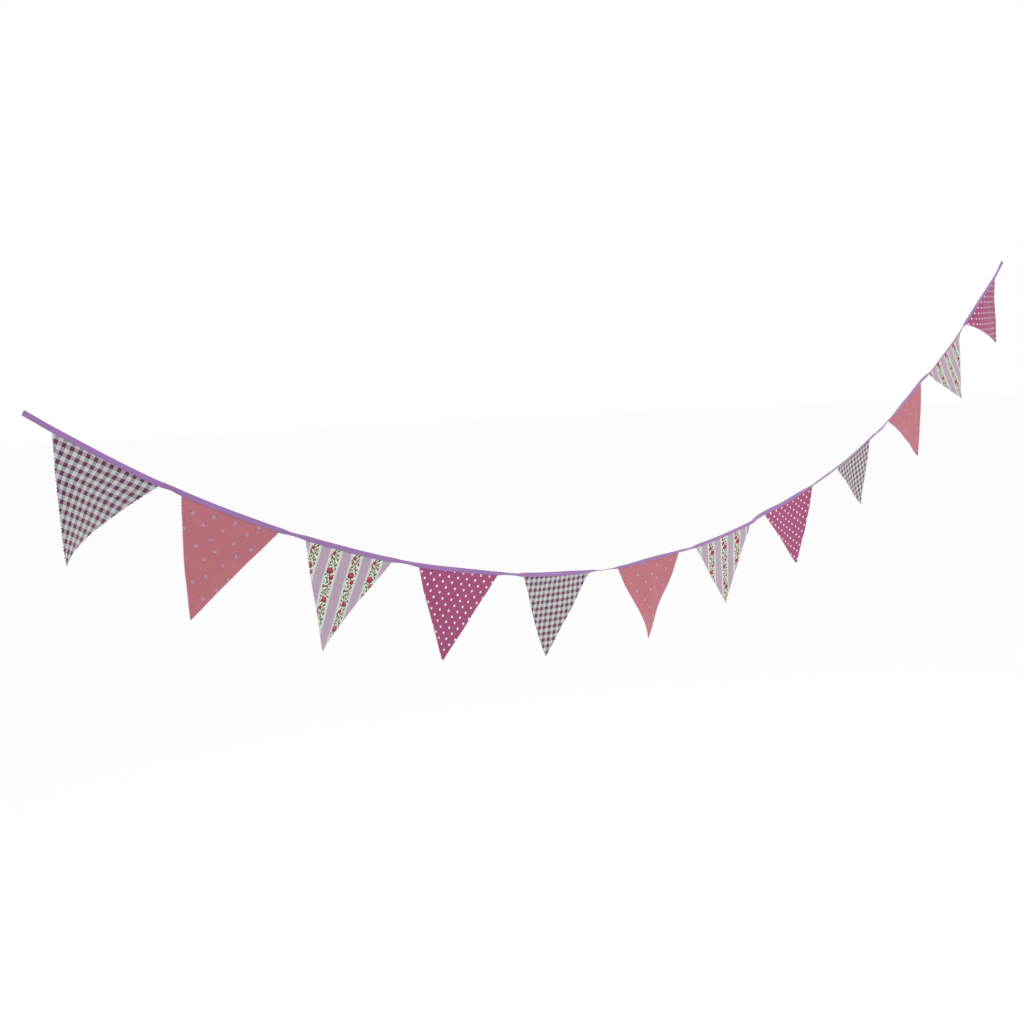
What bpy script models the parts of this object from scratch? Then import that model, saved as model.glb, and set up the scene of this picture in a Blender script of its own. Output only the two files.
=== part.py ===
"""Pennant bunting: twelve cotton triangles sewn into one long folded tape.

The tape hangs in a swag between its two ends. Its left end is at the origin,
+X runs to the right end, +Z is up, and the printed sides face -Y.
"""

import math
from collections import namedtuple

import bmesh
import bpy
from mathutils import Vector

MM = 0.001

# The hanging line of the tape, a chain curve in the XZ plane
SWAG_RADIUS = 2.04          # radius of the curve at its lowest point
RUN_TO_LOWEST = 1.27        # length of tape from the left end to the lowest point
END_TAIL = 66 * MM          # bare tape after the last pennant

# The tape, a strip folded lengthwise over the tops of the pennants
TAPE_WIDTH = 8 * MM         # width as folded
TAPE_CLOTH = 1.0 * MM       # thickness of each leaf
SEAM_ROOM = 0.35 * MM       # room between neighbouring layers
GAP_STEP = 7 * MM           # length of one step of tape between pennants
CORNER_HOLD = 5 * MM        # tape held straight past each pennant's corner
OPEN_REACH = 12 * MM        # tape held open this far past a corner, and shut at twice this

# The pennants, all cut from one triangle
PENNANT_WIDTH = 182 * MM    # across the top, at the tape's lower edge
PENNANT_CLOTH = 1.0 * MM    # thickness of the cotton
POINT_WIDTH = 2 * MM        # the point is very slightly blunt
COLUMNS = 10                # steps across a pennant
ROWS = (0.03, 0.09, 0.17, 0.28, 0.40, 0.53, 0.66, 0.78, 0.88, 0.95, 1.0)
BEND_LENGTH = 9 * MM        # distance below the tape over which a twist dies away
BEND_STEPS = 24             # steps in following that bend down the cloth
TURN_FROM, TURN_TO = 0.55, 0.85   # shares of the drop between which a point turns

# One row for each pennant, left to right. Lengths are in millimetres, angles in degrees.
# gap is the bare tape before it and gap_lean the tape's twist halfway along that gap.
# lean is the tape's twist at each top corner, hang the slant of the cloth below:
# positive brings the lower edge forward. skew moves the point along the tape.
# sway moves each top corner forward and lift moves it up, off the even curve.
# bow moves each slanting edge forward at its middle.
# point_turn turns the point about the pennant's middle line, its right side going back.
Pennant = namedtuple(
    "Pennant",
    "cloth gap gap_lean drop lean_left lean_right hang skew"
    " sway_left sway_right lift_left lift_right bow_left bow_right point_turn",
)
PENNANTS = (
    Pennant("check", 47, 0, 157, 0, 0, 2, 3, 3, -6, 0, 0, 0, -30, 0),
    Pennant("coral", 38, 46, 167, 0, 0, -4, -9, -2, -3, 0, 1, -3, -7, 0),
    Pennant("stripe", 50, -45, 165, 0, 0, -3, -8, 0, -4, 2, 2, 2, -6, 0),
    Pennant("dots", 59, 64, 155, 0, 0, -4, -9, -3, 0, 2, 3, 0, -2, 0),
    Pennant("check", 65, -59, 153, 0, -40, -5, -8, 0, -4, 1, -1, 2, 4, 0),
    Pennant("coral", 74, -84, 158, 0, 0, -4, -12, 0, 2, 2, 6, 5, 0, 30),
    Pennant("stripe", 60, 66, 151, 0, 0, -8, 0, -2, 0, 2, 4, 0, 0, 0),
    Pennant("dots", 70, 5, 150, 0, -60, -4, -2, -8, 6, 0, 0, 4, 0, 0),
    Pennant("check", 100, -40, 144, -60, -60, -9, 13, 10, 0, -3, -7, 2, 0, 0),
    Pennant("coral", 68, -20, 154, -60, 0, -2, -4, 4, -6, -4, 0, 12, 0, 0),
    Pennant("stripe", 45, 0, 148, 0, 0, -4, 16, -4, 0, 0, -5, -4, 0, 0),
    Pennant("dots", 50, 0, 154, 0, 0, -5, 8, -8, -2, -8, 3, 20, -5, 0),
)
END_LEAN = 25               # the tape's twist at its right end

# Linear colour, roughness: the plain colour of each cloth
COLOURS = {
    "tape": (0.42, 0.20, 0.44, 0.85),
    "check": (0.33, 0.22, 0.30, 0.90),
    "coral": (0.50, 0.17, 0.20, 0.90),
    "stripe": (0.47, 0.38, 0.45, 0.90),
    "dots": (0.42, 0.08, 0.19, 0.90),
}


def ease(t):
    """Smooth step from 0 to 1."""
    t = min(max(t, 0.0), 1.0)
    return t * t * (3 - 2 * t)


def between(knots, s):
    """Smooth value at run s, from (run, value) knots in order."""
    for (s0, v0), (s1, v1) in zip(knots, knots[1:]):
        if s <= s1:
            return v0 + (v1 - v0) * ease((s - s0) / (s1 - s0))
    return knots[-1][1]


def lay_out():
    """Run of each pennant's two top corners, and the tape's whole length."""
    corners, run = [], 0.0
    for p in PENNANTS:
        left = run + p.gap * MM
        run = left + PENNANT_WIDTH
        corners.append((left, run))
    return corners, run + END_TAIL


CORNERS, TAPE_LENGTH = lay_out()


def lean_knots():
    """Twist of the tape, in radians, at each corner and gap middle."""
    knots, before = [(0.0, 0.0)], 0.0
    for p, (left, right) in zip(PENNANTS, CORNERS):
        knots.append(((before + left) / 2, p.gap_lean))
        knots += [(left - CORNER_HOLD, p.lean_left), (right + CORNER_HOLD, p.lean_right)]
        before = right
    knots.append((TAPE_LENGTH, END_LEAN))
    return [(s, math.radians(a)) for s, a in knots]


def corner_knots(at_left, at_right):
    """Knots of a small move of the tape, from two columns of the table."""
    knots = [(0.0, 0.0)]
    for p, (left, right) in zip(PENNANTS, CORNERS):
        knots += [(left, getattr(p, at_left) * MM), (right, getattr(p, at_right) * MM)]
    return knots + [(TAPE_LENGTH, 0.0)]


LEAN = lean_knots()
SWAY = corner_knots("sway_left", "sway_right")
LIFT = corner_knots("lift_left", "lift_right")


def chain(s):
    """Point of the fold line at run s: a chain curve, moved by the sway and the lift."""
    a, low = SWAG_RADIUS, RUN_TO_LOWEST
    x = a * (math.asinh((s - low) / a) + math.asinh(low / a))
    z = math.hypot(a, s - low) - math.hypot(a, low)
    return Vector((x, -between(SWAY, s), z + between(LIFT, s)))


def frame_at(s):
    """Fold point, run direction, down and forward directions at run s."""
    step = 1 * MM
    along = (chain(s + step) - chain(s - step)).normalized()
    front = Vector((0, -1, 0))
    front = (front - along * front.dot(along)).normalized()
    return chain(s), along, along.cross(front), front


def leaf_point(s, drop, aside):
    """Point at run s, drop below the fold in the leaf's own plane and aside from it."""
    origin, _, down, front = frame_at(s)
    lean = between(LEAN, s)
    c, k = math.cos(lean), math.sin(lean)
    return origin + (down * c + front * k) * drop + (front * c - down * k) * aside


def in_pennant(s):
    """How far the leaves are held open at run s: 1 at a pennant, 0 between."""
    return max(ease(2 + min(s - left, right - s) / OPEN_REACH) for left, right in CORNERS)


def tape_stations():
    """Runs of the tape's sections: equal steps over each pennant and each gap."""
    ends = [0.0]
    for left, right in CORNERS:
        ends += [left - CORNER_HOLD, right + CORNER_HOLD]
    ends.append(TAPE_LENGTH)
    stations = []
    for number, (start, end) in enumerate(zip(ends, ends[1:])):
        steps = COLUMNS if number % 2 else round((end - start) / GAP_STEP)
        stations += [start + (end - start) * i / steps for i in range(steps)]
    return stations + [TAPE_LENGTH]


def tape_point(s, place):
    """Middle of the tape's cloth at run s: place 0 and 4 are its edges, 2 is the fold."""
    open_half = (SEAM_ROOM + TAPE_CLOTH) / 2
    held_half = (PENNANT_CLOTH + TAPE_CLOTH) / 2 + SEAM_ROOM
    half = open_half + (held_half - open_half) * in_pennant(s)
    drop, aside = ((TAPE_WIDTH, half), (half, half), (0, 0), (half, -half), (TAPE_WIDTH, -half))[place]
    return leaf_point(s, drop, aside)


def pennant_point(p, left, right, across, t):
    """Middle of the pennant's cloth. across runs from -1 to 1, t from the tape's edge to the point."""
    drop = p.drop * MM
    half = PENNANT_WIDTH / 2 * (1 - t) + POINT_WIDTH / 2 * max(t, 0)
    middle = (left + right) / 2
    turn = math.radians(p.point_turn) * ease((t - TURN_FROM) / (TURN_TO - TURN_FROM))
    aside, lift = across * half * math.cos(turn), -across * half * math.sin(turn)
    s = middle + aside
    if t <= 0:
        return leaf_point(s, TAPE_WIDTH + t * drop, 0)
    point = leaf_point(s, TAPE_WIDTH, 0)
    _, along, down, front = frame_at(s)
    twist, hang, step = between(LEAN, s), math.radians(p.hang), t * drop / BEND_STEPS
    for i in range(BEND_STEPS):
        lean = hang + (twist - hang) * math.exp(-(i + 0.5) * step / BEND_LENGTH)
        point += (down * math.cos(lean) + front * math.sin(lean)) * step
    bow = p.bow_left * ((1 - across) / 2) ** 2 + p.bow_right * ((1 + across) / 2) ** 2
    return point + along * p.skew * MM * t + front * (bow * MM * 4 * t * (1 - t) + lift)


def new_material(name, cloth):
    """Plain cloth material."""
    red, green, blue, rough = COLOURS[cloth]
    material = bpy.data.materials.new(name)
    material.use_nodes = True
    shader = material.node_tree.nodes["Principled BSDF"]
    shader.inputs["Base Color"].default_value = (red, green, blue, 1)
    shader.inputs["Roughness"].default_value = rough
    shader.inputs["Metallic"].default_value = 0
    return material


def cloth_from_grid(name, cloth, columns, rows, point_at, other_diagonal, thickness):
    """A flat grid of cloth, laid where point_at(column, row) says and given its thickness.

    Every square is halved the same way on neighbouring layers, so that they twist together.
    """
    bm = bmesh.new()
    bmesh.ops.create_grid(bm, x_segments=columns, y_segments=rows, size=1)
    at = {v: (round((v.co.x + 1) / 2 * columns), round((v.co.y + 1) / 2 * rows)) for v in bm.verts}
    back = [f for f in bm.faces if other_diagonal(min(at[v][1] for v in f.verts))]
    front = [f for f in bm.faces if f not in back]
    for v, (column, row) in at.items():
        v.co = point_at(column, row)
    bmesh.ops.triangulate(bm, faces=front, quad_method="FIXED")
    bmesh.ops.triangulate(bm, faces=back, quad_method="ALTERNATE")
    mesh = bpy.data.meshes.new(name)
    bm.to_mesh(mesh)
    bm.free()
    mesh.shade_smooth()
    body = bpy.data.objects.new(name, mesh)
    bpy.context.collection.objects.link(body)
    mesh.materials.append(new_material(name + "_cloth", cloth))
    solid = body.modifiers.new("thickness", "SOLIDIFY")
    solid.thickness, solid.offset = thickness, 0
    solid.use_even_offset = True
    return body


def build_tape():
    """The long tape, folded over its middle."""
    stations = tape_stations()
    return cloth_from_grid(
        "binding_tape", "tape", len(stations) - 1, 4,
        lambda column, row: tape_point(stations[column], row),
        lambda row: row >= 2, TAPE_CLOTH,
    )


def build_pennant(number, p, corners):
    """One triangle of cotton, its top edge held inside the tape."""
    left, right = corners
    inside = (TAPE_WIDTH - TAPE_CLOTH - 2 * SEAM_ROOM) / (p.drop * MM)
    ts = (-inside, 0.0) + ROWS
    return cloth_from_grid(
        f"pennant_{number:02d}", p.cloth, COLUMNS, len(ts) - 1,
        lambda column, row: pennant_point(p, left, right, 2 * column / COLUMNS - 1, ts[row]),
        lambda row: True, PENNANT_CLOTH,
    )


def main():
    for old in list(bpy.data.objects):
        bpy.data.objects.remove(old, do_unlink=True)
    build_tape()
    for number, (p, corners) in enumerate(zip(PENNANTS, CORNERS), start=1):
        build_pennant(number, p, corners)


main()
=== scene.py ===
# %% [markdown]
# # Pennant bunting
#
# Bunting is a row of small cloth triangles, the pennants, sewn into one long tape.
# This one has twelve, in four cottons that come round three times: a woven check, a coral
# cloth with tiny sprigs, a rose stripe and a dotted pink. The tape is a lilac strip folded
# lengthwise over the tops of the pennants, with one line of stitching through all layers.
#
# Nothing here is stiff, so the whole form comes from how it hangs: the tape in a long
# swag, twisting in the gaps, and each triangle down from it. We write that once, as a few
# small functions of the run along the tape, and lay every piece of cloth with them.

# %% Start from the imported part
import math
from collections import namedtuple

import bmesh
import bpy
from mathutils import Matrix, Vector, noise


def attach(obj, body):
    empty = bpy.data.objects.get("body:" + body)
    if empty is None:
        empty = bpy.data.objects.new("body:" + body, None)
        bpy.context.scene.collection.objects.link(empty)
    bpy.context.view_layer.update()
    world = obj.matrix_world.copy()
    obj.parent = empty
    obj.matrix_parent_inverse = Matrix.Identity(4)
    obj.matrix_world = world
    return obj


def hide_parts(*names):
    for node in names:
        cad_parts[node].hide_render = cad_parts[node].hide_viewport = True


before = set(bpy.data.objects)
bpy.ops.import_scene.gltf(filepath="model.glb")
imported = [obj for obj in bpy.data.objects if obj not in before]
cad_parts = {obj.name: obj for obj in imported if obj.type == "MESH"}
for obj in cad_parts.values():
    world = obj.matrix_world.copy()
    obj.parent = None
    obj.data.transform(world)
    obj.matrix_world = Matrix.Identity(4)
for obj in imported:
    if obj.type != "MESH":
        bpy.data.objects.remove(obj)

MM, DEGREE = 0.001, math.radians(1)
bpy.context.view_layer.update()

# %% [markdown]
# ## The camera
#
# The bunting is seen from near its left end, looking along it, so the far pennants look
# narrow. A camera is easiest to place by three turns: first round the upright axis, then
# the nod, then the tilt of the head. We multiply the three turns in that order.

# %% Place the camera
CAMERA_AT = (-0.81637, -1.81243, 0.01215)
CAMERA_TURN, CAMERA_NOD, CAMERA_TILT = (math.radians(a) for a in (43.357, -5.533, -2.872))
LENS, SENSOR = 48.78, 36


def new_object(name, data):
    """An object in the scene, at the origin."""
    thing = bpy.data.objects.new(name, data)
    bpy.context.scene.collection.objects.link(thing)
    return thing


lens = bpy.data.cameras.new("camera")
lens.lens, lens.sensor_width, lens.sensor_fit = LENS, SENSOR, "AUTO"
camera = new_object("camera", lens)
camera.matrix_world = (
    Matrix.Translation(CAMERA_AT)
    @ Matrix.Rotation(-CAMERA_TURN, 4, "Z")
    @ Matrix.Rotation(math.pi / 2 + CAMERA_NOD, 4, "X")
    @ Matrix.Rotation(CAMERA_TILT, 4, "Z")
)
bpy.context.scene.camera = camera
print("lens in mm:", lens.lens)

# %% [markdown]
# ## Sizes
#
# A tape held at both ends hangs in the curve of a chain, which has one size: the radius at
# its lowest point. Everything else is counted along the tape. The tables are in millimetres
# and degrees. The first has one row for each pennant. Most of its moves and turns are small,
# just what makes real bunting uneven, but a few pennants lean far back, where the tape has
# turned over. The second is how the tape rises and twists: in the gap before each pennant,
# at the pennant's corners and at its middle. The third says where on the cloth's repeat each
# triangle was cut, how it was turned, and how far its print drifts aside where it curls.

# %% Sizes of the tape and the pennants
SWAG_RADIUS = 2.04          # radius of the curve at its lowest point
RUN_TO_LOWEST = 1.27        # length of tape from the left end to the lowest point
END_TAIL = 66 * MM          # bare tape after the last pennant
TAPE_WIDTH = 8 * MM         # width as folded
TAPE_CLOTH = 0.45 * MM      # thickness of the tape
TWIST_RUN = 18 * MM         # length over which the bare tape takes up its twist
TWIST_KEPT = 2 * MM         # it keeps that twist this far to each side of a gap's middle
OPEN_REACH = 12 * MM        # tape held open this far past a corner, and shut at twice this
PENNANT_WIDTH = 182 * MM    # across the top, at the tape's lower edge
PENNANT_CLOTH = 0.35 * MM   # thickness of the cotton
POINT_WIDTH = 2 * MM        # the point is very slightly blunt
HIDDEN_TOP = 6.3 * MM       # part of each pennant inside the tape
BEND_LENGTH = 9 * MM        # distance below the tape over which the top's lean dies away
BEND_STEPS = 24             # steps in following that bend down the cloth
TURN_FROM, TURN_TO = 0.15, 1.0   # shares of the drop between which a pennant's point turns

Pennant = namedtuple(
    "Pennant",
    "cloth gap drop lean_left lean_right hang skew sway_left sway_right"
    " lift_left lift_right bow_left bow_right bow_peak point_turn",
)
PENNANTS = (
    Pennant("check", 47, 157, 0, 0, 2, 3, 3, -6, 0, 0, -3, -32, 0.6, 0),
    Pennant("coral", 38, 167, 0, 0, -4, -9, -2, -3, 0, 1, -3, -7, 0.5, 0),
    Pennant("stripe", 50, 165, 0, 0, -3, -8, 0, -4, 2, 2, 2, -10, 0.6, 0),
    Pennant("dots", 59, 155, 0, 0, -4, -9, -3, 0, 2, 3, 0, -2, 0.5, 0),
    Pennant("check", 65, 153, 0, -40, -5, -8, 0, -4, 1, -1, -2, 5, 0.3, 0),
    Pennant("coral", 74, 158, 0, 0, -4, -12, -1.5, 2, 2, 6, 2, 5, 0.65, 30),
    Pennant("stripe", 60, 151, 0, 0, -8, 0, -2, 3, 2, 4, 2, -5, 0.6, 0),
    Pennant("dots", 70, 150, 0, -60, -4, -2, -8, 6, 0, 0, 4, 8, 0.3, 0),
    Pennant("check", 100, 149, -76, -76, -7.5, 14, 12, 3, -1, -5, 2, 3, 0.3, 0),
    Pennant("coral", 68, 154, -60, 0, -2, -4, 4, -6, -4, 0, 14.5, 2, 0.35, 0),
    Pennant("stripe", 45, 150.5, 0, 0, -4, 16, -4, 0, 0, -0.5, -6, -5.5, 0.25, 0),
    Pennant("dots", 50, 154, 0, 0, -6, 8, -8, 2, -8, 4.5, 21, -4.5, 0.35, 0),
)
Tape = namedtuple(
    "Tape", "rise_gap rise_left rise_right twist_gap twist_left twist_middle twist_right"
)
TAPES = (
    Tape(1.5, 0, 0, 5, 0, 0, 0),
    Tape(1, 0, 0, -47, -20, -5, -25),
    Tape(0, 0, 0, -63, -35, -15, -20),
    Tape(0.7, 0, 0, -57, -30, -10, -42),
    Tape(0, 0, 0, -63, -15, 0, -48),
    Tape(-0.3, 0, 0, -80, -50, -20, -48),
    Tape(-0.8, 0, 0, -50, -22, -25, -22),
    Tape(3.2, 3.0, 0, 12, 15, 5, -50),
    Tape(0.5, 1, 0, -36, -52, -54, -78),
    Tape(-2.5, 0, 0, -30, -50, -15, -8),
    Tape(0.5, 0, 2, -15, -52, -35, -32),
    Tape(1.5, 0, 0, -30, 0, 8, -8),
)
Cut = namedtuple("Cut", "along down turn drift")
CUTS = (
    Cut(2.2, -4.2, 3, 11.5), Cut(4, 9, 3, 0), Cut(-17, 0, 0, 0), Cut(0.2, -10, -2.5, 6),
    Cut(3.4, -10.9, 2.3, 0), Cut(64, 41, 177, 0), Cut(0, 60, 180, 0), Cut(-1.9, -14.9, -3.3, 0),
    Cut(-3, -15, 0, 0), Cut(121, 83, -4, 0), Cut(-3, 30, 0, 0), Cut(-9, -13, 0, 0),
)
END_TWIST, END_RISE = 15, 3      # the tape's twist and rise at its right end

CORNERS, run = [], 0.0      # runs of each pennant's two top corners
for p in PENNANTS:
    CORNERS.append((run + p.gap * MM, run + p.gap * MM + PENNANT_WIDTH))
    run = CORNERS[-1][1]
TAPE_LENGTH = run + END_TAIL
print("pennants:", len(PENNANTS), "tape length in m:", round(TAPE_LENGTH, 3))

# %% [markdown]
# ## How the tape hangs
#
# Between two named points along the tape a value should glide, never jump, because cloth
# has no corners in it. The smooth step does that: flat at both ends, steepest in between.

# %% A value that glides between knots
def ease(t):
    """Smooth step from 0 to 1."""
    t = min(max(t, 0.0), 1.0)
    return t * t * (3 - 2 * t)


def between(knots, s):
    """Value at run s, gliding from one (run, value) knot to the next."""
    for (s0, v0), (s1, v1) in zip(knots, knots[1:]):
        if s <= s1:
            return v0 + (v1 - v0) * ease((s - s0) / (s1 - s0))
    return knots[-1][1]


def corner_knots(at_left, at_right, unit):
    """Knots of a move or a turn at the pennants' corners, from two columns of the table."""
    knots = [(0.0, 0.0)]
    for p, (left, right) in zip(PENNANTS, CORNERS):
        knots += [(left, getattr(p, at_left) * unit), (right, getattr(p, at_right) * unit)]
    return knots + [(TAPE_LENGTH, 0.0)]


def twist_knots(with_gaps):
    """The tape's twist, in radians. A gap takes up its own twist fast and then keeps it."""
    knots, before = [(0.0, TAPES[0].twist_gap)], 0.0
    for tape, (left, right) in zip(TAPES, CORNERS):
        taken_up = min(TWIST_RUN, (left - before) / 2 - TWIST_KEPT)
        if with_gaps and before:
            knots.append((before + taken_up, tape.twist_gap))
        if with_gaps:
            knots.append((left - taken_up, tape.twist_gap))
        knots += [(left, tape.twist_left), ((left + right) / 2, tape.twist_middle)]
        knots.append((right, tape.twist_right))
        before = right
    return [(s, twist * DEGREE) for s, twist in knots + [(TAPE_LENGTH, END_TWIST)]]


def rise_knots():
    """How far the tape rises above a line from corner to corner."""
    knots, before = [], 0.0
    for tape, (left, right) in zip(TAPES, CORNERS):
        knots.append(((before + left) / 2 if before else 0.0, tape.rise_gap * MM))
        knots += [(left, tape.rise_left * MM), ((left + right) / 2, 0.0)]
        knots.append((right, tape.rise_right * MM))
        before = right
    return knots + [(TAPE_LENGTH, END_RISE * MM)]


LEAN = corner_knots("lean_left", "lean_right", DEGREE)
SWAY = corner_knots("sway_left", "sway_right", MM)
LIFT = corner_knots("lift_left", "lift_right", MM)
RISE = rise_knots()
HELD_TWIST, TWIST = twist_knots(False), twist_knots(True)
halfway = between(TWIST, TAPE_LENGTH / 2)
print("halfway along, the tape is twisted by", round(math.degrees(halfway)), "degrees")

# %% [markdown]
# The swag follows the chain curve, moved a little by the sway and the lift. At each run
# along it we need three directions: along the tape, down from it, and forward. The
# pennants' tops lie one tape width below that curve, tilted where they lean. The tape
# stands on that line. Its middle runs straight on from corner to corner, as a taut tape's
# does, and in a gap only its own twist turns it about that middle.

# %% The fold line, and a point in the tape's leaf
def chain(s):
    """Point of the fold line at run s."""
    a, low = SWAG_RADIUS, RUN_TO_LOWEST
    x = a * (math.asinh((s - low) / a) + math.asinh(low / a))
    z = math.hypot(a, s - low) - math.hypot(a, low)
    return Vector((x, -between(SWAY, s), z + between(LIFT, s)))


def directions(s):
    """Along, down and forward at run s."""
    step = 1 * MM
    along = (chain(s + step) - chain(s - step)).normalized()
    front = Vector((0, -1, 0))
    front = (front - along * front.dot(along)).normalized()
    return along, along.cross(front), front


def tilted(s, angle):
    """Downwards at run s, tilted by that angle towards the front."""
    _, down, front = directions(s)
    return down * math.cos(angle) + front * math.sin(angle)


def leaf_axes(s):
    """Down the tape's own leaf, and out of it, at run s."""
    twist = between(TWIST, s)
    return tilted(s, twist), tilted(s, twist + math.pi / 2)


def top_line(s):
    """The pennants' top line, which is the tape's lower edge, at run s."""
    return chain(s) + tilted(s, between(LEAN, s)) * TAPE_WIDTH


def leaf_point(s, drop, aside):
    """Point at run s, drop below the fold in the leaf's own plane and aside from it."""
    down = directions(s)[1]
    down_leaf, out = leaf_axes(s)
    held = tilted(s, between(HELD_TWIST, s)) * TAPE_WIDTH
    middle = top_line(s) - held / 2 - down * between(RISE, s)
    return middle + down_leaf * (drop - TAPE_WIDTH / 2) + out * aside


LOOKS = 200                 # places along the tape looked at for the lowest one
lowest = min(chain(TAPE_LENGTH * i / LOOKS).z for i in range(LOOKS + 1))
print("the swag's lowest point, in m below the left end:", round(-lowest, 3))

# %% [markdown]
# ## Making cloth
#
# Every piece of cloth is cut flat, then laid. So each starts as a flat grid, whose rows and
# columns we move to where the hanging cloth would be. While doing that we keep a map of the
# flat cut, in metres, as the piece's UV map: the weave and the print then follow the folds
# as they do on real cloth. Last the sheet gets its real thickness. Solidify does this
# well, and it can give the reverse a finish of its own, which printed cotton needs. We keep
# its result as the mesh, because only then can the cut edge be marked as a sharp one.

# %% Cut a grid, lay it, and give it thickness
SHARP_EDGE = math.radians(50)


def finished_mesh(name, bm, finishes):
    """The bench mesh bm as a mesh with its finishes. It frees bm."""
    mesh = bpy.data.meshes.new(name)
    bm.to_mesh(mesh)
    bm.free()
    for finish in finishes:
        mesh.materials.append(finish)
    return mesh


def add_piece(name, mesh):
    """A piece of the object, riding on the part's one body."""
    piece = new_object(name, mesh)
    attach(piece, "root")
    return piece


def lay_cloth(name, columns, rows, lay, thickness, finishes):
    """A sheet of cloth with a face finish and a reverse finish. lay(column, row) gives
    its place, its place on the flat cut, and its distance from the nearest cut edge."""
    bm = bmesh.new()
    bmesh.ops.create_grid(bm, x_segments=columns, y_segments=rows, size=1)
    flat = bm.loops.layers.uv.new("cloth")
    edge = bm.verts.layers.float.new("from_cut_edge")
    cut = {}
    for v in bm.verts:
        column, row = ((c + 1) / 2 * n for c, n in zip(v.co, (columns, rows)))
        v.co, cut[v], v[edge] = lay(round(column), round(row))
    for face in bm.faces:
        face.smooth = True
        for corner in face.loops:
            corner[flat].uv = cut[corner.vert]
    piece = add_piece(name, finished_mesh(name, bm, finishes))
    sheet = piece.modifiers.new("thickness", "SOLIDIFY")
    sheet.thickness, sheet.offset, sheet.use_even_offset = thickness, 0, True
    sheet.material_offset = len(finishes) - 1
    seen = piece.evaluated_get(bpy.context.evaluated_depsgraph_get())
    piece.data = bpy.data.meshes.new_from_object(seen)
    piece.modifiers.clear()
    piece.data.name = name
    piece.data.set_sharp_from_angle(angle=SHARP_EDGE)
    return piece


print("cloth of the tape and the pennants, in mm:", TAPE_CLOTH / MM, PENNANT_CLOTH / MM)

# %% [markdown]
# ## A bench for building finishes
#
# The patterns are all sums on the flat cut: stripes are a zigzag, dots are a distance,
# a check is two stripes crossed. In Blender such sums are shader nodes. A node at a time
# they take many lines, so a few helpers put nodes down, do sums, mix colours, and pack sums
# that come often into a recipe.

# %% Helpers that put down nodes
def feed(tree, value, socket):
    """Feeds a socket with a number, a colour or another node's output."""
    if isinstance(value, bpy.types.NodeSocket):
        tree.links.new(value, socket)
    elif value is not None:
        socket.default_value = value


def put(tree, kind, feeds, out=0, **settings):
    """Puts down a node, fed by a list in the sockets' order or by names."""
    node = tree.nodes.new("ShaderNode" + kind)
    for name, value in settings.items():
        setattr(node, name, value)
    pairs = feeds.items() if isinstance(feeds, dict) else enumerate(feeds)
    for socket, value in pairs:
        feed(tree, value, node.inputs[socket])
    return node.outputs[out]


def reckon(tree, operation, *values):
    """A sum with numbers."""
    return put(tree, "Math", values, operation=operation)


def reckon_place(tree, operation, *values):
    """A sum with places. A length is a number, so it comes out of the second socket."""
    out = int(operation == "LENGTH")
    return put(tree, "VectorMath", values, out=out, operation=operation)


def soften(tree, value, off, on, low=0.0, high=1.0):
    """Glides from low where value is off to high where it is on."""
    feeds = [value, off, on, low, high]
    return put(tree, "MapRange", feeds, interpolation_type="SMOOTHSTEP")


def paint_over(tree, share, under, over):
    """The under colour, with that share of the over colour on it."""
    node = tree.nodes.new("ShaderNodeMix")
    node.data_type = "RGBA"
    for socket, value in zip((0, 6, 7), (share, under, over)):
        feed(tree, value, node.inputs[socket])
    return node.outputs[2]


def dye(red, green, blue):
    """A colour from a 0 to 255 chart, as Blender's linear colour."""
    parts = [c / 255 for c in (red, green, blue)]
    linear = [c / 12.92 if c < 0.04045 else ((c + 0.055) / 1.055) ** 2.4 for c in parts]
    return (*linear, 1.0)


def new_recipe(name, inputs, outputs):
    """An empty node group. Returns it, what it is given and what it makes."""
    group = bpy.data.node_groups.new(name, "ShaderNodeTree")
    for way, sockets in (("INPUT", inputs), ("OUTPUT", outputs)):
        for label, kind in sockets.items():
            group.interface.new_socket(name=label, in_out=way, socket_type="NodeSocket" + kind)
    given = group.nodes.new("NodeGroupInput").outputs
    return group, given, group.nodes.new("NodeGroupOutput").inputs


def use_recipe(tree, group, *values):
    """Puts a recipe to use. Returns what it makes."""
    node = tree.nodes.new("ShaderNodeGroup")
    node.node_tree = group
    for value, socket in zip(values, node.inputs):
        feed(tree, value, socket)
    return node.outputs


def new_finish(name, values):
    """A finish with these values, its nodes, and the shader's sockets."""
    finish = bpy.data.materials.new(name)
    finish.use_nodes = True
    sockets = finish.node_tree.nodes["Principled BSDF"].inputs
    for label, value in values.items():
        sockets[label].default_value = value
    return finish, finish.node_tree, sockets


print("a mid lilac in linear colour:", [round(c, 3) for c in dye(180, 135, 188)])

# %% [markdown]
# ## The weave
#
# All five cloths are plain weave: one thread over, one under. Seen close, each crossing is
# a tiny cushion of either the thread that runs down or the one that runs across. We build
# that once as a recipe. It says which thread is on top, how high the cloth is there,
# and how strong that one thread's colour is, as no yarn is quite even.

# %% The plain weave recipe
YARN_TO_YARN, ALONG_YARN = 0.7, 0.02     # how fast the colour's strength changes, each way

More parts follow.
